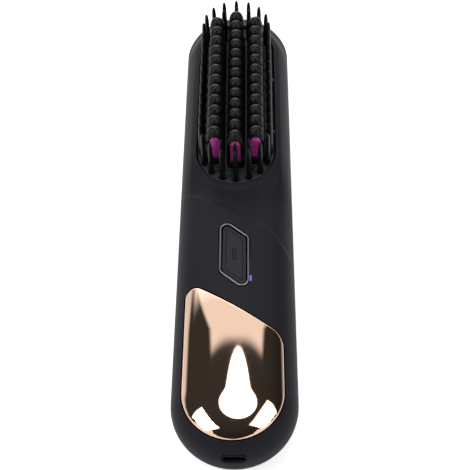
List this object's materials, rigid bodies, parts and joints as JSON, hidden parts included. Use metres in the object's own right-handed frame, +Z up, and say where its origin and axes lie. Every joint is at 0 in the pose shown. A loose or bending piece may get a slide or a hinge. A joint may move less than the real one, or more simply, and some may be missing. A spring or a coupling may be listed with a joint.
{
  "type": "hair straightening brush",
  "caption": "Cordless hair straightening brush with heated comb rows inside a ring of pins, a slanted power button, a rose gold handle panel and a charging socket in the end.",
  "frame": {"origin": "on the plane of the four feet, under the middle of the body's outline", "axes": "+Y from the charging socket to the tip of the head, +Z up out of the bristles, +X to the right seen from the handle's end"},
  "size_m": [0.047, 0.2248, 0.0433],
  "materials": {
    "soft_touch_shell": "soft-touch matte",
    "rose_gold": "polished",
    "bezel_metal": "satin",
    "button_cap": "satin",
    "light_pipe": "clear, lit violet",
    "bristle_nylon": "semi-gloss nylon",
    "plate_gloss": "glossy",
    "heat_coat": "satin coating",
    "ceramic": "fired ceramic",
    "mica": "flaky sheet",
    "plain_steel": "plain",
    "screw_steel": "zinc plated",
    "shield_foil": "bright foil",
    "tray_resin": "heat-resistant resin",
    "fuse_body": "lacquered",
    "sensor_bead": "glass bead",
    "cell_can": "plastic-wrapped can",
    "cradle_plastic": "moulded",
    "nickel_strip": "nickel strip",
    "foam_pad": "foam",
    "foot_rubber": "moulded",
    "board_laminate": "solder mask",
    "component_black": "moulded epoxy",
    "capacitor_can": "bright can",
    "connector_white": "moulded",
    "socket_steel": "plated",
    "lead_insulation": "silicone",
    "led_lens": "clear resin"
  },
  "bodies": {
    "housing": {"front_housing": "soft_touch_shell", "rear_housing": "soft_touch_shell", "handle_panel": "rose_gold", "button_bezel": "bezel_metal", "switch_body": "plain_steel", "indicator_light_pipe": "light_pipe", "indicator_led": "led_lens", "bristle_plate": "plate_gloss", "bristle_pins": "bristle_nylon", "comb_cover_left": "bristle_nylon", "comb_cover_centre": "bristle_nylon", "comb_cover_right": "bristle_nylon", "heating_plate": "heat_coat", "ceramic_heaters": "ceramic", "mica_sheet": "mica", "pressure_plate": "plain_steel", "heater_tray": "tray_resin", "heat_shield": "shield_foil", "thermal_fuse": "fuse_body", "temperature_sensor": "sensor_bead", "heater_screws": "screw_steel", "housing_screws": "screw_steel", "battery_cell_left": "cell_can", "battery_cell_right": "cell_can", "battery_cradle": "cradle_plastic", "battery_link": "nickel_strip", "battery_tabs": "nickel_strip", "battery_pads": "foam_pad", "circuit_board": "board_laminate", "board_screws": "screw_steel", "controller_chip": "component_black", "filter_coil": "component_black", "power_transistors": "component_black", "capacitors": "capacitor_can", "charge_connector": "connector_white", "charging_board": "board_laminate", "charging_socket_shell": "socket_steel", "charging_socket_tongue": "component_black", "charging_leads": "lead_insulation", "heater_leads": "lead_insulation", "rest_feet": "foot_rubber"},
    "power_button": {"power_button": "button_cap"},
    "switch_plunger": {"switch_plunger": "component_black"}
  },
  "joints": [
    {"name": "power_button_press", "type": "slide", "parent": "housing", "child": "power_button", "axis": [0, 0, -1], "range_m": [0, 0.0005], "stiffness_N_per_m": 200, "springref_m": -0.0001},
    {"name": "switch_plunger_press", "type": "slide", "parent": "housing", "child": "switch_plunger", "axis": [0, 0, -1], "range_m": [0, 0.0005], "stiffness_N_per_m": 20, "springref_m": -0.00005}
  ],
  "couplings": [
    {"joint": "switch_plunger_press", "follows": "power_button_press", "ratio": 1}
  ]
}
